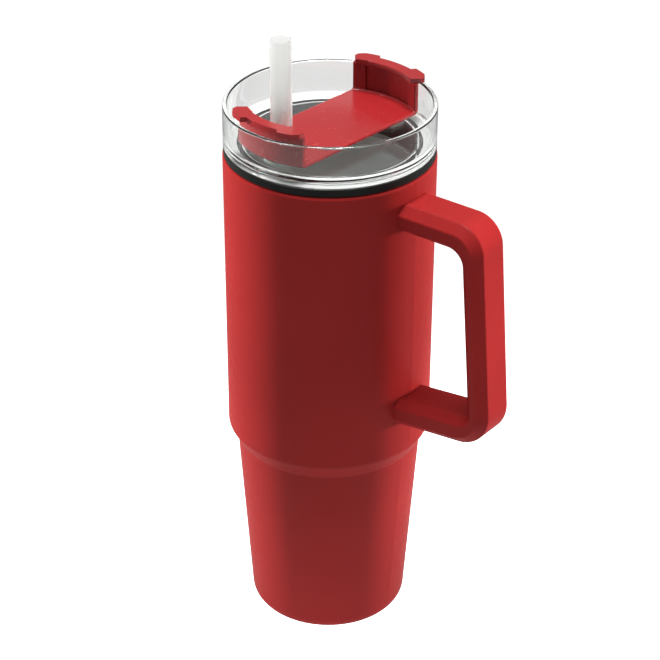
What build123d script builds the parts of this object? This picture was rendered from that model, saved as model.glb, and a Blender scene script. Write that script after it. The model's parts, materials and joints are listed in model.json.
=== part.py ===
"""Insulated travel mug with a side handle, a clear lid, a turning cover and a straw.

Units are millimetres. The origin is the centre of the foot, +Z is up and the handle is on +X.
The cover strip lies nearly along Y, with its straw end towards -Y.
"""

from build123d import *
from math import atan2, degrees, sqrt
import os

# ---------------------------------------------------------------- driving dimensions
# Steel body
MOUTH_Z = 255.0  # top of the steel lip
BODY_TOP_R = 50.9  # outside radius just under the lip
BODY_LOW_R = 50.62  # outside radius where the shoulder starts
SHOULDER_TOP_Z = 107.6
CREASE_R = 46.1  # outside radius where the shoulder meets the tapered foot
CREASE_Z = 99.4
FOOT_R = 39.2  # where the tapered foot would meet the floor
FOOT_EDGE_R = 6.6  # rounding of the foot
SHELL_T = 0.8
BASE_RECESS_R = 29.6  # recess under the foot that takes the base cap
BASE_RECESS_Z = 2.6
BASE_OPEN_R = 22.0  # opening that the vacuum base plate closes
MOUTH_LIP_R = 1.6
SHOULDER_ROUND = 4.0
CREASE_ROUND = 2.0
PRESSED_R = 1.0  # rounding of the small steps pressed into sheet steel

# Steel liner
LINER_R = 45.0  # inside radius of the mouth
LINER_T = 0.7
LINER_FLOOR_Z = 9.7
LINER_SHOULDER_Z = 107.0
LINER_CREASE_R = 41.3
LINER_CREASE_Z = 99.0
LINER_FOOT_R = 35.0
LINER_ROUND = 5.0
LINER_FLOOR_ROUND = 6.0

# Clear lid
LID_R = 50.5
LID_WALL = 2.2
LID_TOP_Z = 279.9
LID_FLOOR_Z = 262.5
LID_FLOOR_T = 2.5
LID_FLANGE_Z = 259.3  # underside of the flange, just above the gasket
PLUG_R = 44.0
PLUG_WALL = 2.0
PLUG_LOW_Z = 243.0
LID_CORNERS = [0.5, 1.0, 1.8, 0.7, 0.7, 0.1, 0.6, 0.9, 0.9, 2.5]  # roundings, from boss to well floor

# Turning cover
COVER_TURN = -4.5  # degrees that the shut cover stands turned about the mug's axis
COVER_R = 44.9  # outside radius of the end walls
STRIP_HALF = 20.1
STRIP_T = 2.0
STRIP_LOW_Z = 266.0
COVER_TOP_Z = 284.5
LIP_INNER_R = 41.4
LIP_OUTER_R = 47.3
LIP_T = 3.0
EAR_R = 49.7
EAR_T = 2.4
PIVOT_R = 4.0

# Straw
STRAW_R = 5.1
STRAW_WALL = 1.1
STRAW_LOW_Z = 16.0
STRAW_TOP_Z = 319.7
STRAW_END_R = 0.5  # rounding of the cut ends
STRAW_X, STRAW_Y = -5.4, -29.5

# Handle
HANDLE_HALF = 12.5
HANDLE_TOP_Z = 245.15
ARM_T = 13.35
GRIP_T = 10.9
GRIP_TOP_X = 93.4  # outer face of the grip, carried up to the top face
GRIP_LEAN = 0.079  # how much further out the grip stands for each unit down
ARM_LOW_Z = 125.3  # underside of the lower arm at the shell
ARM_LOW_RISE = 0.105
ARM_LOW_TOP_Z = 139.4  # top of the lower arm at the shell
ARM_LOW_TOP_RISE = 0.12
OUTER_BEVEL = 4.5
INNER_BEVEL = 3.2
SCREW_X = 60.0

# Drinking side of the lid
MOUTH_SLOT_R = 35.0
MOUTH_SLOT_W = 18.0
MOUTH_SLOT_H = 8.0

# Fits
FIT = 0.1  # running clearance of the pivot, and of pieces that only rest near each other
SEAT_GAP = 0.03  # hairline between pieces that sit in each other
POCKET_GAP = 0.2  # room round the steel that the moulded handle slips over
EDGE_BREAK = 0.3  # small chamfer on turned and moulded edges
NEAR = 0.01  # how close a measured edge has to lie to count as the one meant

os.makedirs("parts", exist_ok=True)


def body_r(z):
    """Outside radius of the straight upper body at height z."""
    share = (z - SHOULDER_TOP_Z) / (MOUTH_Z - SHOULDER_TOP_Z)
    return BODY_LOW_R + (BODY_TOP_R - BODY_LOW_R) * share


def finish(part, name):
    """Label a finished piece and write it."""
    part.label = name
    export_step(part, f"parts/{name}.step")


# ---------------------------------------------------------------- steel body
# Painted outer shell: rolled lip, straight body, shoulder, tapered foot and foot ring.
with BuildPart() as outer_shell:
    with BuildSketch(Plane.XZ):
        with BuildLine():
            skin = FilletPolyline(
                (LINER_R + LINER_T, MOUTH_Z),
                (BODY_TOP_R, MOUTH_Z),
                (BODY_LOW_R, SHOULDER_TOP_Z),
                (CREASE_R, CREASE_Z),
                (FOOT_R, 0),
                (BASE_RECESS_R, 0),
                (BASE_RECESS_R, BASE_RECESS_Z),
                (BASE_OPEN_R, BASE_RECESS_Z),
                radius=[MOUTH_LIP_R, SHOULDER_ROUND, CREASE_ROUND, FOOT_EDGE_R, PRESSED_R, PRESSED_R],
            )
            offset(skin, amount=SHELL_T, side=Side.RIGHT)
        make_face()
    revolve(axis=Axis.Z)
finish(outer_shell.part, "outer_shell")

# Bare steel liner that holds the drink.
with BuildPart() as inner_liner:
    with BuildSketch(Plane.XZ):
        with BuildLine():
            wet_side = FilletPolyline(
                (LINER_R, MOUTH_Z),
                (LINER_R, LINER_SHOULDER_Z),
                (LINER_CREASE_R, LINER_CREASE_Z),
                (LINER_FOOT_R, LINER_FLOOR_Z),
                (0, LINER_FLOOR_Z),
                radius=[LINER_ROUND, LINER_ROUND, LINER_FLOOR_ROUND],
            )
            offset(wet_side, amount=LINER_T, side=Side.LEFT)
        make_face()
    revolve(axis=Axis.Z)
finish(inner_liner.part, "inner_liner")

# Plate that closes the vacuum space, with a raised dimple and the evacuation hole.
PLATE_LOW_Z = BASE_RECESS_Z + SHELL_T
PLATE_R = 28.4
DIMPLE_R = 6.5
DIMPLE_RISE = 2.2
DIMPLE_FLANK = 1.5
EVACUATION_R = 0.8
with BuildPart() as vacuum_plate:
    with BuildSketch(Plane.XZ):
        with BuildLine():
            underside = FilletPolyline(
                (PLATE_R, PLATE_LOW_Z),
                (DIMPLE_R, PLATE_LOW_Z),
                (DIMPLE_R - DIMPLE_FLANK, PLATE_LOW_Z + DIMPLE_RISE),
                (EVACUATION_R, PLATE_LOW_Z + DIMPLE_RISE),
                radius=PRESSED_R,
            )
            offset(underside, amount=SHELL_T, side=Side.RIGHT)
        make_face()
    revolve(axis=Axis.Z)
finish(vacuum_plate.part, "vacuum_plate")

# Glass solder bead that seals the evacuation hole.
BEAD_R = 3.2
BEAD_T = 1.7
with BuildPart() as seal_bead:
    with BuildSketch(Plane.XZ):
        with Locations((0, PLATE_LOW_Z + DIMPLE_RISE)):
            Ellipse(BEAD_R, BEAD_T)
        with Locations((0, PLATE_LOW_Z + DIMPLE_RISE)):
            Rectangle(2 * BEAD_R, BEAD_T, align=(Align.CENTER, Align.MIN), mode=Mode.SUBTRACT)
        Rectangle(BEAD_R, MOUTH_Z, align=(Align.MAX, Align.CENTER), mode=Mode.SUBTRACT)
    revolve(axis=Axis.Z)
finish(seal_bead.part, "seal_bead")

# Getter tablet that keeps the vacuum, and the strap that holds it on the plate.
GETTER_X = 16.0
GETTER_R = 4.0
GETTER_T = 1.8
CLIP_T = 0.4
CLIP_FOOT = 3.0
CLIP_W = 3.0
plate_top_z = PLATE_LOW_Z + SHELL_T
with BuildPart() as getter:
    with BuildSketch(Plane.XY.offset(plate_top_z)):
        with Locations((GETTER_X, 0)):
            Circle(GETTER_R)
    extrude(amount=GETTER_T)
    chamfer(getter.edges().group_by(Axis.Z)[-1], EDGE_BREAK)
finish(getter.part, "getter")

clip_half = GETTER_R + EDGE_BREAK
with BuildPart() as getter_clip:
    with BuildSketch(Plane.XZ):
        with BuildLine():
            strap = Polyline(
                (GETTER_X - clip_half - CLIP_FOOT, plate_top_z),
                (GETTER_X - clip_half, plate_top_z),
                (GETTER_X - clip_half, plate_top_z + GETTER_T),
                (GETTER_X + clip_half, plate_top_z + GETTER_T),
                (GETTER_X + clip_half, plate_top_z),
                (GETTER_X + clip_half + CLIP_FOOT, plate_top_z),
            )
            offset(strap, amount=CLIP_T, side=Side.LEFT)
        make_face()
    extrude(amount=CLIP_W / 2, both=True)
finish(getter_clip.part, "getter_clip")

# Steel cap glued into the recess under the foot, with a turned groove.
CAP_R = BASE_RECESS_R - 1.3
CAP_T = 1.2
GROOVE_OUT_R = CAP_R - 6.0
GROOVE_W = 1.2
GROOVE_DEEP = 0.3
with BuildPart() as base_cap:
    with BuildSketch(Plane.XY.offset(BASE_RECESS_Z - CAP_T)):
        Circle(CAP_R)
    extrude(amount=CAP_T)
    with BuildSketch(Plane.XY.offset(BASE_RECESS_Z - CAP_T)):
        Circle(GROOVE_OUT_R)
        Circle(GROOVE_OUT_R - GROOVE_W, mode=Mode.SUBTRACT)
    extrude(amount=GROOVE_DEEP, mode=Mode.SUBTRACT)
    chamfer(base_cap.edges().group_by(Axis.Z)[0].sort_by(SortBy.RADIUS)[-1], EDGE_BREAK)
finish(base_cap.part, "base_cap")

# ---------------------------------------------------------------- handle


def grip_x(z):
    """Outer face of the leaning grip at height z."""
    return GRIP_TOP_X + GRIP_LEAN * (HANDLE_TOP_Z - z)


def grip_meets(z, rise, inset):
    """Point where a grip face, set in by inset, meets an arm face that starts at z and rises."""
    x = (grip_x(z) - inset + GRIP_LEAN * rise * BODY_LOW_R) / (1 + GRIP_LEAN * rise)
    return x, z + rise * (x - BODY_LOW_R)


HANDLE_ROOT_X = 44.0
upper_low_z = HANDLE_TOP_Z - ARM_T
root_drop = BODY_LOW_R - HANDLE_ROOT_X
outer_top = (GRIP_TOP_X, HANDLE_TOP_Z)
outer_low = grip_meets(ARM_LOW_Z, ARM_LOW_RISE, 0)
inner_top = grip_meets(upper_low_z, 0, GRIP_T)
inner_low = grip_meets(ARM_LOW_TOP_Z, ARM_LOW_TOP_RISE, GRIP_T)

# Moulded handle: two arms and a leaning grip, bevelled all along, with a pocket in each root.
POCKET_X = 66.0
WELD_HALF = 7.6
WELD_H = 9.0
WELD_T = 1.6
WELD_GAP = 0.3  # room between the welded plate's face and the handle
BOSS_H = 6.0
BOSS_HALF = 6.1
BOSS_X = 65.0
BOSS_END_BREAK = 0.8
UPPER_BOSS_Z = 239.0
LOWER_BOSS_Z = 133.5
SCREW_SHANK_R = 1.75
SCREW_HEAD_R = 3.2
SCREW_HEAD_T = 2.0
HEX_R = 1.5
HEX_DEEP = 1.2
SINK_R = 3.6
PLUG_T = 1.0
OUTER_TOP_R = 14.3
OUTER_LOW_R = 18.5
INNER_TOP_R = 8.5
INNER_LOW_R = 4.5
BEVEL_SOFT_R = 1.5
ARM_SHARE = 0.7  # part of an arm's thickness that tells its outer face from its inner one
SHORT_EDGE = 4.0  # edges shorter than this belong to the root, not to a bevel


def lies_outside(point):
    """Whether a point is on the outer outline of the handle, not on the finger gap."""
    above = point.Z > HANDLE_TOP_Z - ARM_SHARE * ARM_T
    below = point.Z < ARM_LOW_Z + ARM_SHARE * ARM_T
    return above or below or point.X > grip_x(point.Z) - GRIP_T / 2


def is_bevel_edge(edge):
    """Whether an edge runs along a bevel, and not round the root's end face."""
    middle = edge.center()
    beside = abs(middle.Y) > HANDLE_HALF / 2
    return middle.X > HANDLE_ROOT_X + NEAR and edge.length > SHORT_EDGE and beside


lower_under_z = ARM_LOW_Z + ARM_LOW_RISE * (SCREW_X - BODY_LOW_R)
arms = {"upper": (UPPER_BOSS_Z, upper_low_z), "lower": (LOWER_BOSS_Z, lower_under_z)}
sink_deep = SCREW_HEAD_T + PLUG_T

# Space inside the straight upper body, which the handle and its bosses are cut back to.
with BuildPart() as body_core:
    with BuildSketch(Plane.XZ):
        with BuildLine():
            Polyline(
                (0, SHOULDER_TOP_Z),
                (BODY_LOW_R, SHOULDER_TOP_Z),
                (BODY_TOP_R, MOUTH_Z),
                (0, MOUTH_Z),
                close=True,
            )
        make_face()
    revolve(axis=Axis.Z)

with BuildPart() as handle:
    with BuildSketch(Plane.XZ):
        with BuildLine():
            outer_line = FilletPolyline(
                (HANDLE_ROOT_X, HANDLE_TOP_Z),
                outer_top,
                outer_low,
                (HANDLE_ROOT_X, ARM_LOW_Z - ARM_LOW_RISE * root_drop),
                radius=[OUTER_TOP_R, OUTER_LOW_R],
            )
            inner_line = FilletPolyline(
                (HANDLE_ROOT_X, ARM_LOW_TOP_Z - ARM_LOW_TOP_RISE * root_drop),
                inner_low,
                inner_top,
                (HANDLE_ROOT_X, upper_low_z),
                radius=[INNER_LOW_R, INNER_TOP_R],
            )
            Line(outer_line @ 1, inner_line @ 0)
            Line(inner_line @ 1, outer_line @ 0)
        make_face()
    extrude(amount=HANDLE_HALF, both=True)
    side_edges = handle.edges().filter_by(lambda e: abs(abs(e.center().Y) - HANDLE_HALF) < NEAR)
    long_edges = side_edges.filter_by(lambda e: e.center().X > HANDLE_ROOT_X + NEAR)
    outer_edges = long_edges.filter_by(lambda e: lies_outside(e.center()))
    inner_edges = long_edges.filter_by(lambda e: not lies_outside(e.center()))
    chamfer(outer_edges, OUTER_BEVEL)
    chamfer(inner_edges, INNER_BEVEL)
    soft_edges = handle.edges().filter_by(lambda e: is_bevel_edge(e))
    fillet(soft_edges, BEVEL_SOFT_R)
    add(body_core.part, mode=Mode.SUBTRACT)
    for boss_z, under_z in arms.values():
        with BuildSketch(Plane.XY.offset(boss_z)):
            Rectangle(POCKET_X, 2 * (BOSS_HALF + POCKET_GAP), align=(Align.MIN, Align.CENTER))
        extrude(amount=BOSS_H / 2 + POCKET_GAP, both=True, mode=Mode.SUBTRACT)
        with BuildSketch(Plane.XY.offset(boss_z)):
            Circle(body_r(boss_z) + WELD_T + WELD_GAP)
            Rectangle(4 * LID_R, 2 * (WELD_HALF + POCKET_GAP), mode=Mode.INTERSECT)
        extrude(amount=WELD_H / 2 + POCKET_GAP, both=True, mode=Mode.SUBTRACT)
        with BuildSketch(Plane.XY.offset(under_z)):
            with Locations((SCREW_X, 0)):
                Circle(SINK_R)
        extrude(amount=sink_deep, both=True, mode=Mode.SUBTRACT)
        with BuildSketch(Plane.XY.offset(under_z)):
            with Locations((SCREW_X, 0)):
                Circle(SCREW_SHANK_R + POCKET_GAP)
        extrude(amount=boss_z - under_z, mode=Mode.SUBTRACT)
finish(handle.part, "handle")

# Steel bosses welded to the shell; each fills a pocket in the handle and takes a screw.
for name, (boss_z, under_z) in arms.items():
    with BuildPart() as boss:
        with BuildSketch(Plane.XY.offset(boss_z - WELD_H / 2)):
            Circle(body_r(boss_z) + WELD_T)
            Rectangle(2 * LID_R, 2 * WELD_HALF, align=(Align.MIN, Align.CENTER), mode=Mode.INTERSECT)
        extrude(amount=WELD_H)
        with BuildSketch(Plane.XY.offset(boss_z - BOSS_H / 2)):
            Rectangle(BOSS_X, 2 * BOSS_HALF, align=(Align.MIN, Align.CENTER))
        extrude(amount=BOSS_H)
        add(body_core.part, mode=Mode.SUBTRACT)
        with Locations((SCREW_X, 0, boss_z)):
            Hole(SCREW_SHANK_R + SEAT_GAP)
        chamfer(boss.edges().filter_by(Axis.Y).group_by(Axis.X)[-1], BOSS_END_BREAK)
    finish(boss.part, f"{name}_handle_boss")

# Two pan-head screws, one under each arm, with a hexagon socket.
with BuildPart() as handle_screws:
    for boss_z, under_z in arms.values():
        head_z = under_z + PLUG_T
        with BuildSketch(Plane.XY.offset(head_z)):
            with Locations((SCREW_X, 0)):
                Circle(SCREW_HEAD_R)
        extrude(amount=SCREW_HEAD_T)
        with BuildSketch(Plane.XY.offset(head_z + SCREW_HEAD_T)):
            with Locations((SCREW_X, 0)):
                Circle(SCREW_SHANK_R)
        extrude(amount=boss_z + BOSS_H / 2 - head_z - SCREW_HEAD_T)
        with BuildSketch(Plane.XY.offset(head_z)):
            with Locations((SCREW_X, 0)):
                RegularPolygon(HEX_R, 6)
        extrude(amount=HEX_DEEP, mode=Mode.SUBTRACT)
finish(handle_screws.part, "handle_screws")

# Two plugs that hide the screw heads.
with BuildPart() as screw_plugs:
    for boss_z, under_z in arms.values():
        with BuildSketch(Plane.XY.offset(under_z)):
            with Locations((SCREW_X, 0)):
                Circle(SINK_R - SEAT_GAP)
        extrude(amount=PLUG_T - FIT)
finish(screw_plugs.part, "screw_plugs")

# ---------------------------------------------------------------- lid
GROMMET_R = 6.2
O_RING_R = 6.0
O_RING_T = 1.6
PIVOT_BOSS_R = 8.0
PIVOT_BOSS_LOW_Z = 257.5
VENT_X, VENT_Y, VENT_R = 7.0, 23.5, 1.2
lid_floor_low_z = LID_FLOOR_Z - LID_FLOOR_T

# Clear lid: rim, floor, flange, plug and pivot boss in one moulding, with its openings.
with BuildPart() as lid_body:
    with BuildSketch(Plane.XZ):
        with BuildLine():
            half = FilletPolyline(
                (0, PIVOT_BOSS_LOW_Z),
                (PIVOT_BOSS_R, PIVOT_BOSS_LOW_Z),
                (PIVOT_BOSS_R, lid_floor_low_z),
                (PLUG_R - PLUG_WALL, lid_floor_low_z),
                (PLUG_R - PLUG_WALL, PLUG_LOW_Z),
                (PLUG_R, PLUG_LOW_Z),
                (PLUG_R, LID_FLANGE_Z),
                (LID_R, LID_FLANGE_Z),
                (LID_R, LID_TOP_Z),
                (LID_R - LID_WALL, LID_TOP_Z),
                (LID_R - LID_WALL, LID_FLOOR_Z),
                (0, LID_FLOOR_Z),
                radius=LID_CORNERS,
            )
            Line(half @ 1, half @ 0)
        make_face()
    revolve(axis=Axis.Z)
    with Locations((0, 0, LID_FLOOR_Z)):
        CounterBoreHole(PIVOT_R + FIT, O_RING_R, O_RING_T)
    with Locations((STRAW_X, STRAW_Y, LID_FLOOR_Z)):
        Hole(GROMMET_R)
    with Locations((VENT_X, VENT_Y, LID_FLOOR_Z)):
        Hole(VENT_R)
    with BuildSketch(Plane.XY.offset(LID_FLOOR_Z)):
        with Locations((0, MOUTH_SLOT_R)):
            SlotOverall(MOUTH_SLOT_W, MOUTH_SLOT_H)
    extrude(amount=-2 * LID_FLOOR_T, mode=Mode.SUBTRACT)
finish(lid_body.part, "lid_body")

# Black silicone gasket: a band under the flange and a skirt with two wiping ribs.
SKIRT_R = 44.45
RIB_R = 44.75
SKIRT_LOW_Z = 245.0
RIB_T = 1.2
LOW_RIB_UP = 1.5  # height of the lower rib above the skirt's edge
RIB_STEP = 4.0
SKIRT_REACH = 1.0  # how far the skirt runs up into the band
BAND_CORNERS = [0.1, 0.7, 0.7, 0.4]
gasket_in_r = PLUG_R + SEAT_GAP
gasket_top_z = LID_FLANGE_Z - FIT
skirt_h = MOUTH_Z + SKIRT_REACH - SKIRT_LOW_Z
low_rib_z = SKIRT_LOW_Z + LOW_RIB_UP
with BuildPart() as lid_gasket:
    with BuildSketch(Plane.XZ):
        with BuildLine():
            FilletPolyline(
                (gasket_in_r, MOUTH_Z),
                (LID_R, MOUTH_Z),
                (LID_R, gasket_top_z),
                (gasket_in_r, gasket_top_z),
                radius=BAND_CORNERS,
                close=True,
            )
        make_face()
        with Locations((gasket_in_r, SKIRT_LOW_Z)):
            Rectangle(SKIRT_R - gasket_in_r, skirt_h, align=(Align.MIN, Align.MIN))
        for rib_z in (low_rib_z, low_rib_z + RIB_STEP):
            with Locations((gasket_in_r, rib_z)):
                Rectangle(RIB_R - gasket_in_r, RIB_T, align=(Align.MIN, Align.MIN))
    revolve(axis=Axis.Z)
finish(lid_gasket.part, "lid_gasket")

# Silicone grommet in the straw hole, with a flange under the floor.
GROMMET_BORE_R = STRAW_R + 2 * FIT
GROMMET_FLANGE_R = 7.8
GROMMET_FLANGE_T = 1.6
with BuildPart() as straw_grommet:
    with BuildSketch(Plane.XY.offset(lid_floor_low_z - GROMMET_FLANGE_T)):
        with Locations((STRAW_X, STRAW_Y)):
            Circle(GROMMET_FLANGE_R)
            Circle(GROMMET_BORE_R, mode=Mode.SUBTRACT)
    extrude(amount=GROMMET_FLANGE_T)
    with BuildSketch(Plane.XY.offset(lid_floor_low_z)):
        with Locations((STRAW_X, STRAW_Y)):
            Circle(GROMMET_R - SEAT_GAP)
            Circle(GROMMET_BORE_R, mode=Mode.SUBTRACT)
    extrude(amount=LID_FLOOR_T)
finish(straw_grommet.part, "straw_grommet")

# Silicone ring that seals round the cover's pivot.
with BuildPart() as pivot_seal:
    with BuildSketch(Plane.XY.offset(LID_FLOOR_Z - O_RING_T)):
        Circle(O_RING_R - SEAT_GAP)
        Circle(PIVOT_R + FIT, mode=Mode.SUBTRACT)
    extrude(amount=O_RING_T - FIT)
    chamfer(pivot_seal.edges().group_by(Axis.Z)[-1], EDGE_BREAK)
finish(pivot_seal.part, "pivot_seal")

# ---------------------------------------------------------------- turning cover
PILLAR_R = 42.6
END_WALL_R = 43.8
PILLAR_W = 6.3
BOTTOM_EDGE_R = 2.4
INNER_EDGE_R = 1.0
LIP_SINK = 0.5  # how far the end walls reach into the lip
LIP_HALF = 14.0
LIP_EDGE_R = 0.9
PIVOT_LOW_Z = 254.6
PIVOT_TIP_BREAK = 0.6
NECK_R = 3.3
NECK_T = 1.3
RETAINER_R = 6.6
PAD_X, PAD_Y = 12.0, 6.5
PAD_SINK = 0.8
PAD_R = 3.0
SLOT_CLEAR = 0.6
SLOT_SWEEP = 60  # degrees of the arc that the straw's cut-out follows
CUT_EDGE_R = 0.7
HOLLOW_UP = 0.5  # step between the strip and the hollow in each end wall
BOSS_PLAY = 0.3  # room under the pivot boss for the retainer
WASHER_SPLIT = 1.6
strip_top_z = STRIP_LOW_Z + STRIP_T
lip_low_z = COVER_TOP_Z - LIP_T
neck_low_z = PIVOT_BOSS_LOW_Z - BOSS_PLAY - NECK_T
straw_orbit = sqrt(STRAW_X**2 + STRAW_Y**2)
straw_angle = degrees(atan2(STRAW_Y, STRAW_X)) - COVER_TURN
# Outline of one ear: the two points on EAR_R are joined by an arc, the others by straight lines.
ear_plan = [
    (9.4, 45.8),
    (11.4, sqrt(EAR_R**2 - 11.4**2)),
    (18.6, sqrt(EAR_R**2 - 18.6**2)),
    (21.0, 43.4),
    (21.0, 40.8),
    (17.4, 37.4),
    (12.0, 39.6),
]

# Top of the cover: the lips of the two end walls, with ears that reach over the rim.
with BuildPart() as cover_top:
    with BuildSketch(Plane.XY.offset(lip_low_z)):
        Circle(LIP_OUTER_R)
        Circle(LIP_INNER_R, mode=Mode.SUBTRACT)
        Rectangle(2 * LIP_HALF, 3 * COVER_R, mode=Mode.INTERSECT)
    extrude(amount=LIP_T)
    arcs = cover_top.edges().filter_by(GeomType.CIRCLE)
    fillet(arcs.filter_by(lambda e: abs(e.radius - LIP_INNER_R) < NEAR), LIP_EDGE_R)
    with BuildSketch(Plane.XY.offset(COVER_TOP_Z - EAR_T)):
        with BuildLine():
            Polyline(ear_plan[2:] + ear_plan[:2])
            RadiusArc(ear_plan[1], ear_plan[2], EAR_R)
        make_face()
        mirror(about=Plane.YZ)
        mirror(about=Plane.XZ)
    extrude(amount=EAR_T)

with BuildPart() as turning_cover:
    # Dish with an upturned wall, cut down to a strip across the lid.
    with BuildSketch(Plane.XZ):
        with BuildLine():
            underside = FilletPolyline(
                (0, STRIP_LOW_Z),
                (COVER_R, STRIP_LOW_Z),
                (COVER_R, lip_low_z + LIP_SINK),
                radius=BOTTOM_EDGE_R,
            )
            topside = FilletPolyline(
                (PILLAR_R, lip_low_z + LIP_SINK),
                (PILLAR_R, strip_top_z),
                (0, strip_top_z),
                radius=INNER_EDGE_R,
            )
            Line(underside @ 1, topside @ 0)
            Line(topside @ 1, underside @ 0)
        make_face()
    revolve(axis=Axis.Z)
    with BuildSketch(Plane.XY.offset(STRIP_LOW_Z)):
        Rectangle(2 * STRIP_HALF, 3 * COVER_R)
    extrude(amount=COVER_TOP_Z, mode=Mode.INTERSECT)
    cut_edges = turning_cover.edges().filter_by(lambda e: abs(abs(e.center().X) - STRIP_HALF) < NEAR)
    fillet(cut_edges.filter_by(lambda e: e.center().Z < lip_low_z), CUT_EDGE_R)
    # Hollow between the two pillars on the inside of each end wall.
    with BuildSketch(Plane.XY.offset(strip_top_z + HOLLOW_UP)):
        Circle(END_WALL_R)
        Circle(PILLAR_R - INNER_EDGE_R, mode=Mode.SUBTRACT)
        Rectangle(2 * (STRIP_HALF - PILLAR_W), 3 * COVER_R, mode=Mode.INTERSECT)
    extrude(amount=lip_low_z - strip_top_z - HOLLOW_UP, mode=Mode.SUBTRACT)
    add(cover_top.part)
    # Arc-shaped cut-out for the straw, open on one side so that the strip turns away from it.
    with BuildSketch(Plane.XY.offset(STRIP_LOW_Z)):
        SlotArc(
            CenterArc((0, 0), straw_orbit, straw_angle - SLOT_SWEEP, SLOT_SWEEP, mode=Mode.PRIVATE),
            2 * (STRAW_R + SLOT_CLEAR),
        )
    extrude(amount=STRIP_T, mode=Mode.SUBTRACT)
    # Pivot post with a neck for the retainer.
    with BuildSketch(Plane.XY.offset(STRIP_LOW_Z)):
        Circle(PIVOT_R)
    extrude(amount=PIVOT_LOW_Z - STRIP_LOW_Z)
    chamfer(turning_cover.edges().group_by(Axis.Z)[0], PIVOT_TIP_BREAK)
    with BuildSketch(Plane.XY.offset(neck_low_z)):
        Circle(RETAINER_R)
        Circle(NECK_R, mode=Mode.SUBTRACT)
    extrude(amount=NECK_T, mode=Mode.SUBTRACT)
    # Seat for the sealing pad.
    with BuildSketch(Plane.XY.offset(STRIP_LOW_Z)):
        with Locations((0, MOUTH_SLOT_R)):
            RectangleRounded(2 * PAD_X, 2 * PAD_Y, PAD_R)
    extrude(amount=PAD_SINK, mode=Mode.SUBTRACT)
finish(turning_cover.part.rotate(Axis.Z, COVER_TURN), "turning_cover")

# Silicone pad under the strip that shuts the drinking slot.
with BuildPart() as slot_pad:
    with BuildSketch(Plane.XY.offset(LID_FLOOR_Z + FIT)):
        with Locations((0, MOUTH_SLOT_R)):
            RectangleRounded(2 * PAD_X - FIT, 2 * PAD_Y - FIT, PAD_R)
    extrude(amount=STRIP_LOW_Z + PAD_SINK - LID_FLOOR_Z - FIT)
finish(slot_pad.part.rotate(Axis.Z, COVER_TURN), "slot_pad")

# Split washer that holds the pivot under the lid.
with BuildPart() as pivot_retainer:
    with BuildSketch(Plane.XY.offset(neck_low_z + FIT)):
        Circle(RETAINER_R)
        Circle(NECK_R + SEAT_GAP, mode=Mode.SUBTRACT)
        with Locations((RETAINER_R, 0)):
            Rectangle(2 * RETAINER_R, WASHER_SPLIT, mode=Mode.SUBTRACT)
    extrude(amount=NECK_T - 2 * FIT)
finish(pivot_retainer.part, "pivot_retainer")

# Straight straw with rounded ends.
with BuildPart() as straw:
    with BuildSketch(Plane.XY.offset(STRAW_LOW_Z)):
        with Locations((STRAW_X, STRAW_Y)):
            Circle(STRAW_R)
            Circle(STRAW_R - STRAW_WALL, mode=Mode.SUBTRACT)
    extrude(amount=STRAW_TOP_Z - STRAW_LOW_Z)
    ends = straw.edges().group_by(Axis.Z)[0] + straw.edges().group_by(Axis.Z)[-1]
    fillet(ends, STRAW_END_R)
finish(straw.part, "straw")
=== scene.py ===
"""The travel mug's looks: procedural materials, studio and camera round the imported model."""

import json
import math

import bpy
from mathutils import Matrix, Vector


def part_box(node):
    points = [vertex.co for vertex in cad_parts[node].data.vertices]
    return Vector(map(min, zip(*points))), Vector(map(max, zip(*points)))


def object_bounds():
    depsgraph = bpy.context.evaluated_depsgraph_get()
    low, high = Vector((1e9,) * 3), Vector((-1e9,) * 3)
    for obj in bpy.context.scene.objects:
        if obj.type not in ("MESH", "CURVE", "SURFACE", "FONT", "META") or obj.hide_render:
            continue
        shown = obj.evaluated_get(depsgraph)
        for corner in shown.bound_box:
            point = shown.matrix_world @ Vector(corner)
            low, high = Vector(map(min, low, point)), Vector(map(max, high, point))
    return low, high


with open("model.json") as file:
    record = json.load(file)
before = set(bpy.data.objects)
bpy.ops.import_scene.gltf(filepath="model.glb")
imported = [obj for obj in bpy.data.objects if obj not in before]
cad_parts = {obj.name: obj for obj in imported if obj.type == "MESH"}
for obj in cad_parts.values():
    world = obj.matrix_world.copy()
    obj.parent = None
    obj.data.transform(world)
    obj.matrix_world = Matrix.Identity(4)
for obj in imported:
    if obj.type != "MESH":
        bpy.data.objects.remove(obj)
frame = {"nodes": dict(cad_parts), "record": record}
nodes = frame["nodes"]
cad_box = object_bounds()

# ---------------------------------------------------------------- node helpers


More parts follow.
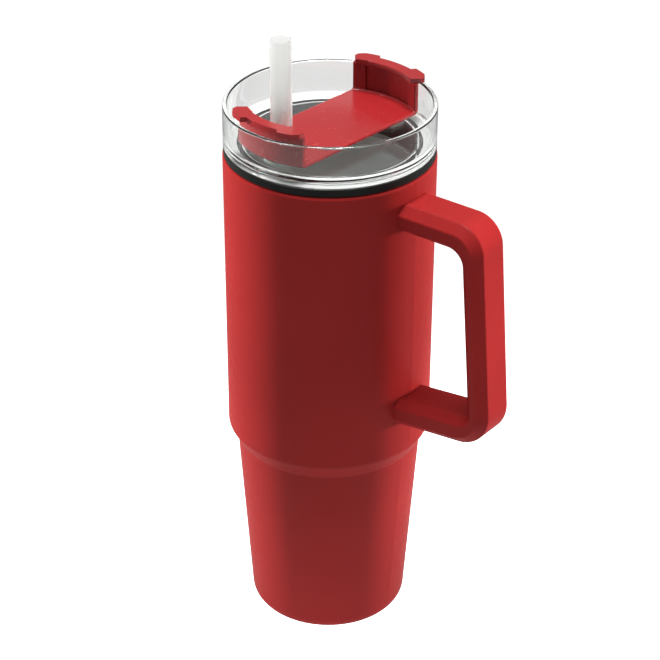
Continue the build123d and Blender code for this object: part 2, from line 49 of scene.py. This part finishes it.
class Finish:
    """A material with its node tree, built up by short calls."""

    def __init__(self, name):
        self.material = bpy.data.materials.new(name)
        self.material.use_nodes = True
        self.tree = self.material.node_tree
        self.shader = self.tree.nodes["Principled BSDF"]
        self.output = self.tree.nodes["Material Output"]
        self.place = self.add("ShaderNodeTexCoord").outputs["Object"]

    def add(self, kind, **settings):
        node = self.tree.nodes.new(kind)
        for key, value in settings.items():
            setattr(node, key, value)
        return node

    def link(self, source, target):
        self.tree.links.new(source, target)

    def set(self, **values):
        """Set plain values on the shader, by socket name with _ for a space."""
        for key, value in values.items():
            self.shader.inputs[key.replace("_", " ")].default_value = value
        return self

    def noise(self, scale, detail=2.0, roughness=0.5, place=None):
        """Noise over the part's own coordinates, or over another place."""
        node = self.add("ShaderNodeTexNoise")
        node.inputs["Scale"].default_value = scale
        node.inputs["Detail"].default_value = detail
        node.inputs["Roughness"].default_value = roughness
        self.link(place or self.place, node.inputs["Vector"])
        return node.outputs["Fac"]

    def spread(self, source, low, high, from_low=0.3, from_high=0.7):
        """Map a value from one range to another; the default suits noise, which keeps to its middle."""
        node = self.add("ShaderNodeMapRange")
        node.inputs["From Min"].default_value = from_low
        node.inputs["From Max"].default_value = from_high
        node.inputs["To Min"].default_value = low
        node.inputs["To Max"].default_value = high
        self.link(source, node.inputs["Value"])
        return node.outputs["Result"]

    def tint(self, source, dark, light):
        """Colour that goes from dark to light with the value."""
        node = self.add("ShaderNodeMix", data_type="RGBA")
        node.inputs["A"].default_value = (*dark, 1)
        node.inputs["B"].default_value = (*light, 1)
        self.link(source, node.inputs["Factor"])
        colour = next(socket for socket in node.outputs if socket.type == "RGBA")
        self.link(colour, self.shader.inputs["Base Color"])

    def rough(self, source, low, high):
        """Roughness that goes from low to high with the value."""
        self.link(self.spread(source, low, high), self.shader.inputs["Roughness"])

    def bump(self, *layers):
        """Stack bumps, each (height source, distance in metres, strength)."""
        below = None
        for height, distance, strength in layers:
            node = self.add("ShaderNodeBump")
            node.inputs["Distance"].default_value = distance
            node.inputs["Strength"].default_value = strength
            self.link(height, node.inputs["Height"])
            if below is not None:
                self.link(below, node.inputs["Normal"])
            below = node.outputs["Normal"]
        self.link(below, self.shader.inputs["Normal"])


# ---------------------------------------------------------------- materials


def powder_coat():
    """Red powder coat: a satin film with fine orange peel."""
    f = Finish("red_powder_coat").set(IOR=1.45, Specular_IOR_Level=0.05)
    f.tint(f.spread(f.noise(9.0, 3.0), 0, 1), (0.165, 0.0100, 0.0095), (0.195, 0.0120, 0.0115))
    f.rough(f.noise(260.0, 2.0), 0.36, 0.44)
    f.bump((f.noise(420.0, 2.0), 0.00025, 0.12), (f.noise(2600.0, 1.0), 0.00005, 0.16))
    return f.material


def moulded_red():
    """Red handle moulding: satin, with a fine eroded mould texture."""
    f = Finish("red_moulding").set(IOR=1.45, Specular_IOR_Level=0.05)
    f.tint(f.spread(f.noise(14.0, 3.0), 0, 1), (0.168, 0.0095, 0.0095), (0.198, 0.0115, 0.0115))
    f.rough(f.noise(500.0, 2.0), 0.38, 0.47)
    f.bump((f.noise(60.0, 1.0), 0.0006, 0.05), (f.noise(3200.0, 2.0), 0.00005, 0.22))
    return f.material


def gloss_red():
    """Red cover moulding: glossy, with faint flow waves."""
    f = Finish("red_gloss").set(IOR=1.5)
    f.tint(f.spread(f.noise(22.0, 3.0), 0, 1), (0.180, 0.0075, 0.0085), (0.205, 0.0090, 0.0105))
    f.rough(f.noise(180.0, 2.0), 0.20, 0.28)
    f.bump((f.noise(45.0, 1.0), 0.0008, 0.05), (f.noise(1500.0, 2.0), 0.00005, 0.08))
    return f.material


FROST_CLEARNESS = 0.55  # transmission weight where the lid is frosted; elsewhere it is 1
FROST_DEPTH = 0.0003  # how near the gasket's top the lid's surface is frosted


def clear_resin():
    """Clear lid moulding, frosted under its flange. It casts no shadow, so what it holds stays lit."""
    f = Finish("clear_plastic").set(IOR=1.5, Base_Color=(0.77, 0.78, 0.77, 1))
    f.rough(f.noise(120.0, 2.0), 0.0, 0.02)
    f.bump((f.noise(55.0, 1.0), 0.0005, 0.06))
    parts = f.add("ShaderNodeSeparateXYZ")
    f.link(f.place, parts.inputs["Vector"])
    frosted = f.add("ShaderNodeMath", operation="COMPARE")
    f.link(parts.outputs["Z"], frosted.inputs[0])
    frosted.inputs[1].default_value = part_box("lid_gasket")[1][2]
    frosted.inputs[2].default_value = FROST_DEPTH
    f.link(f.spread(frosted.outputs[0], 1, FROST_CLEARNESS, 0, 1), f.shader.inputs["Transmission Weight"])
    path = f.add("ShaderNodeLightPath")
    clear = f.add("ShaderNodeBsdfTransparent")
    mix = f.add("ShaderNodeMixShader")
    f.link(path.outputs["Is Shadow Ray"], mix.inputs["Fac"])
    f.link(f.shader.outputs["BSDF"], mix.inputs[1])
    f.link(clear.outputs["BSDF"], mix.inputs[2])
    f.link(mix.outputs["Shader"], f.output.inputs["Surface"])
    return f.material


def black_silicone():
    """Black silicone: satin, almost without pattern."""
    f = Finish("black_silicone").set(IOR=1.43, Specular_IOR_Level=0.2)
    f.tint(f.spread(f.noise(40.0, 3.0), 0, 1), (0.005, 0.0055, 0.005), (0.009, 0.010, 0.009))
    f.rough(f.noise(300.0, 2.0), 0.32, 0.48)
    f.bump((f.noise(1400.0, 2.0), 0.00006, 0.2))
    return f.material


def white_silicone():
    """White silicone: satin and slightly translucent."""
    f = Finish("white_silicone").set(IOR=1.43, Subsurface_Weight=0.3, Subsurface_Scale=0.003)
    f.tint(f.spread(f.noise(60.0, 3.0), 0, 1), (0.66, 0.67, 0.65), (0.74, 0.75, 0.73))
    f.rough(f.noise(300.0, 2.0), 0.4, 0.55)
    f.bump((f.noise(1400.0, 2.0), 0.00006, 0.2))
    return f.material


LINE_SHADE = 0.86  # the lines' dark colour as a share of their light one
LINES_ROUND = 0.5  # pattern's frequency along the lines
LINES_ACROSS = 900.0  # pattern's frequency across the lines, up the mug and outward


def turned_steel(name, light, rough_low, rough_high):
    """Steel with fine lines that run round the mug's axis."""
    f = Finish(name).set(Metallic=1.0)
    parts = f.add("ShaderNodeSeparateXYZ")
    f.link(f.place, parts.inputs["Vector"])
    turn = f.add("ShaderNodeMath", operation="ARCTAN2")
    f.link(parts.outputs["Y"], turn.inputs[0])
    f.link(parts.outputs["X"], turn.inputs[1])
    radius = f.add("ShaderNodeVectorMath", operation="LENGTH")
    flat = f.add("ShaderNodeCombineXYZ")
    f.link(parts.outputs["X"], flat.inputs["X"])
    f.link(parts.outputs["Y"], flat.inputs["Y"])
    f.link(flat.outputs["Vector"], radius.inputs[0])
    unrolled = f.add("ShaderNodeCombineXYZ")
    for source, target, scale in (
        (turn.outputs[0], "X", LINES_ROUND),
        (radius.outputs["Value"], "Y", LINES_ACROSS),
        (parts.outputs["Z"], "Z", LINES_ACROSS),
    ):
        scaled = f.add("ShaderNodeMath", operation="MULTIPLY")
        f.link(source, scaled.inputs[0])
        scaled.inputs[1].default_value = scale
        f.link(scaled.outputs[0], unrolled.inputs[target])
    lines = f.noise(3.0, 4.0, 0.6, unrolled.outputs["Vector"])
    f.tint(f.spread(lines, 0, 1), tuple(LINE_SHADE * v for v in light), light)
    f.rough(lines, rough_low, rough_high)
    f.bump((lines, 0.00003, 0.25))
    return f.material


STRAW_STRETCH = 0.05  # pattern's frequency along the straw as a share of that round it


def straw_plastic():
    """Translucent white straw: drawn tube with faint lengthwise lines."""
    f = Finish("straw_plastic").set(IOR=1.15, Specular_IOR_Level=0.2)
    f.set(Transmission_Weight=0.9, Subsurface_Weight=0.6, Subsurface_Scale=0.004, Subsurface_Radius=(1, 1, 1))
    stretch = f.add("ShaderNodeMapping")
    stretch.inputs["Scale"].default_value = (1, 1, STRAW_STRETCH)
    f.link(f.place, stretch.inputs["Vector"])
    lines = f.noise(900.0, 2.0, 0.5, stretch.outputs["Vector"])
    f.tint(f.spread(lines, 0, 1), (0.85, 0.855, 0.84), (0.88, 0.885, 0.87))
    f.rough(lines, 0.45, 0.55)
    f.bump((lines, 0.00004, 0.15))
    return f.material


def solder_glass():
    """Brownish glass solder, fused to a smooth bead."""
    f = Finish("solder_glass").set(IOR=1.7)
    f.tint(f.spread(f.noise(500.0, 3.0), 0, 1), (0.10, 0.08, 0.05), (0.22, 0.19, 0.14))
    f.rough(f.noise(800.0, 2.0), 0.08, 0.2)
    f.bump((f.noise(700.0, 2.0), 0.0001, 0.2))
    return f.material


def sintered_metal():
    """Dark sintered metal: matt and grainy."""
    f = Finish("getter_metal").set(Metallic=0.8)
    f.tint(f.spread(f.noise(3000.0, 3.0), 0, 1), (0.07, 0.07, 0.075), (0.18, 0.18, 0.19))
    f.rough(f.noise(1500.0, 2.0), 0.6, 0.8)
    f.bump((f.noise(3500.0, 2.0), 0.0001, 0.5))
    return f.material


finishes = {
    "red_powder_coat": powder_coat(),
    "red_moulding": moulded_red(),
    "red_gloss": gloss_red(),
    "clear_plastic": clear_resin(),
    "black_silicone": black_silicone(),
    "white_silicone": white_silicone(),
    "brushed_steel": turned_steel("brushed_steel", (0.92, 0.92, 0.90), 0.36, 0.50),
    "plain_steel": turned_steel("plain_steel", (0.52, 0.52, 0.53), 0.28, 0.42),
    "plated_steel": turned_steel("plated_steel", (0.72, 0.72, 0.73), 0.08, 0.16),
    "straw_plastic": straw_plastic(),
    "solder_glass": solder_glass(),
    "getter_metal": sintered_metal(),
}

# Each CAD node takes the finish of its material slot in the record.
for part in frame["record"]["subparts"]:
    mesh = nodes[part["node"]].data
    mesh.materials.clear()
    mesh.materials.append(finishes[part["material_slot"]])

# ---------------------------------------------------------------- camera

VIEW_TURN = math.radians(37.8)  # from -Y towards the handle
VIEW_TILT = math.radians(30.31)  # below the horizon
VIEW_ROLL = math.radians(0.24)
VIEW_DISTANCE = 0.9367  # along the floor, from the mug's axis
VIEW_HEIGHT = 0.7039  # above the floor
VIEW_ASIDE = 0.0004  # to the right of the line to the mug's axis
LENS_MM = 119.48
SENSOR_MM = 36.0
VIEW_REACH = 50  # metres, past the floor's far edge
floor_z = cad_box[0][2]
ahead = Vector((-math.sin(VIEW_TURN), math.cos(VIEW_TURN), 0))
aside = Vector((math.cos(VIEW_TURN), math.sin(VIEW_TURN), 0))
up = Vector((0, 0, 1))

camera_data = bpy.data.cameras.new("camera")
camera_data.lens = LENS_MM
camera_data.sensor_width = SENSOR_MM
camera_data.clip_end = VIEW_REACH
camera = bpy.data.objects.new("camera", camera_data)
bpy.context.scene.collection.objects.link(camera)
camera.matrix_world = (
    Matrix.Translation(up * (VIEW_HEIGHT + floor_z) - ahead * VIEW_DISTANCE + aside * VIEW_ASIDE)
    @ Matrix.Rotation(VIEW_TURN, 4, "Z")
    @ Matrix.Rotation(math.pi / 2 - VIEW_TILT, 4, "X")
    @ Matrix.Rotation(VIEW_ROLL, 4, "Z")
)
bpy.context.scene.camera = camera

# ---------------------------------------------------------------- studio

# Each side's box stands a little behind the mug. Its beam is narrow and centred half the box's
# width in front of the mug's axis, so it lights the flank and most of it misses the back.
BOX_BEHIND = math.radians(28)  # behind the line that runs aside from the mug
BOX_AWAY = 0.89
BOX_WIDTH = 0.4
BOX_HEIGHT = 0.8
BOX_BEAM = math.radians(14)
LEFT_POWER = 4.9
RIGHT_POWER = 4.8
SKY_LOW = 0.08  # strength near the horizon
SKY_HIGH = 0.6  # strength overhead
SKY_LOW_RISE = 0.1  # sine of the elevation up to which the sky is at its low strength
SKY_HIGH_RISE = 0.8  # sine of the elevation from which it is at its high strength
SKY_THROUGH = 0.95  # strength as seen through the clear lid
OVERHEAD_STRENGTH = 8.0
OVERHEAD_SPREAD = math.radians(24)


def softbox(name, place, target, power):
    """A rectangular soft light at a place, facing a target. Its own reflection isn't seen."""
    data = bpy.data.lights.new(name, "AREA")
    data.shape = "RECTANGLE"
    data.size = BOX_WIDTH
    data.size_y = BOX_HEIGHT
    data.energy = power
    data.spread = BOX_BEAM
    light = bpy.data.objects.new(name, data)
    bpy.context.scene.collection.objects.link(light)
    light.location = place
    light.visible_transmission = False
    light.visible_glossy = False
    light.rotation_euler = (target - place).to_track_quat("-Z", "Y").to_euler()


def sky():
    """Soft light from all round, dim near the horizon, and bright where it is seen through the lid."""
    world = bpy.data.worlds.new("studio")
    world.use_nodes = True
    tree = world.node_tree
    background = tree.nodes["Background"]
    background.inputs["Color"].default_value = (1, 1, 1, 1)
    place = tree.nodes.new("ShaderNodeTexCoord")
    parts = tree.nodes.new("ShaderNodeSeparateXYZ")
    ramp = tree.nodes.new("ShaderNodeMapRange")
    ramp.inputs["From Min"].default_value = SKY_LOW_RISE
    ramp.inputs["From Max"].default_value = SKY_HIGH_RISE
    ramp.inputs["To Min"].default_value = SKY_LOW
    ramp.inputs["To Max"].default_value = SKY_HIGH
    path = tree.nodes.new("ShaderNodeLightPath")
    pick = tree.nodes.new("ShaderNodeMix")
    pick.inputs["B"].default_value = SKY_THROUGH
    tree.links.new(place.outputs["Generated"], parts.inputs["Vector"])
    tree.links.new(parts.outputs["Z"], ramp.inputs["Value"])
    tree.links.new(ramp.outputs["Result"], pick.inputs["A"])
    tree.links.new(path.outputs["Is Transmission Ray"], pick.inputs["Factor"])
    tree.links.new(pick.outputs["Result"], background.inputs["Strength"])
    bpy.context.scene.world = world


def overhead():
    """Broad light from straight above, which whitens the floor and not the mug's sides."""
    data = bpy.data.lights.new("overhead", "SUN")
    data.energy = OVERHEAD_STRENGTH
    data.angle = OVERHEAD_SPREAD
    light = bpy.data.objects.new("overhead", data)
    light.visible_transmission = False
    bpy.context.scene.collection.objects.link(light)


FLOOR_SIZE = 14.0
FLOOR_GLOW = 0.75
POOL_GLOW = 1.5  # further glow round the foot, which lights the mug from below
POOL_INNER = 0.12  # radius up to which the further glow is whole
POOL_OUTER = 0.42  # radius at which it has faded out
FLOOR_DIMMING = 0.75  # share of the floor's light that glossy reflections leave out


def pale_floor():
    """Grey floor that glows, so that it reads as white and the mug's shadow stays faint."""
    mesh = bpy.data.meshes.new("floor")
    half = FLOOR_SIZE / 2
    corners = [(-half, -half, 0), (half, -half, 0), (half, half, 0), (-half, half, 0)]
    mesh.from_pydata(corners, [], [(0, 1, 2, 3)])
    f = Finish("floor_panel").set(Specular_IOR_Level=0.0, Emission_Color=(1, 1, 1, 1))
    from_foot = f.add("ShaderNodeVectorMath", operation="LENGTH")
    f.link(f.place, from_foot.inputs[0])
    glow = f.spread(from_foot.outputs["Value"], FLOOR_GLOW + POOL_GLOW, FLOOR_GLOW, POOL_INNER, POOL_OUTER)
    f.link(glow, f.shader.inputs["Emission Strength"])
    f.tint(f.spread(f.noise(3.0, 2.0), 0, 1), (0.095, 0.095, 0.095), (0.105, 0.105, 0.105))
    f.rough(f.noise(30.0, 2.0), 0.9, 1.0)
    path = f.add("ShaderNodeLightPath")
    bounced = f.add("ShaderNodeMath", operation="SUBTRACT")
    share = f.add("ShaderNodeMath", operation="MULTIPLY", use_clamp=True)
    share.inputs[1].default_value = FLOOR_DIMMING
    dark = f.add("ShaderNodeBsdfDiffuse")
    dark.inputs["Color"].default_value = (0, 0, 0, 1)
    mix = f.add("ShaderNodeMixShader")
    f.link(path.outputs["Is Glossy Ray"], bounced.inputs[0])
    f.link(path.outputs["Is Transmission Ray"], bounced.inputs[1])
    f.link(bounced.outputs[0], share.inputs[0])
    f.link(share.outputs[0], mix.inputs["Fac"])
    f.link(f.shader.outputs["BSDF"], mix.inputs[1])
    f.link(dark.outputs["BSDF"], mix.inputs[2])
    f.link(mix.outputs["Shader"], f.output.inputs["Surface"])
    mesh.materials.append(f.material)
    floor = bpy.data.objects.new("floor", mesh)
    bpy.context.scene.collection.objects.link(floor)
    floor.location.z = floor_z


middle = up * (cad_box[0][2] + cad_box[1][2]) / 2
sky()
overhead()
for side, name, power in ((-1, "left_box", LEFT_POWER), (1, "right_box", RIGHT_POWER)):
    outward = aside * side * math.cos(BOX_BEHIND) + ahead * math.sin(BOX_BEHIND)
    frontward = aside * side * math.sin(BOX_BEHIND) - ahead * math.cos(BOX_BEHIND)
    target = middle + frontward * BOX_WIDTH / 2
    softbox(name, target + outward * BOX_AWAY, target, power)
pale_floor()
bpy.context.scene.view_settings.view_transform = "Standard"
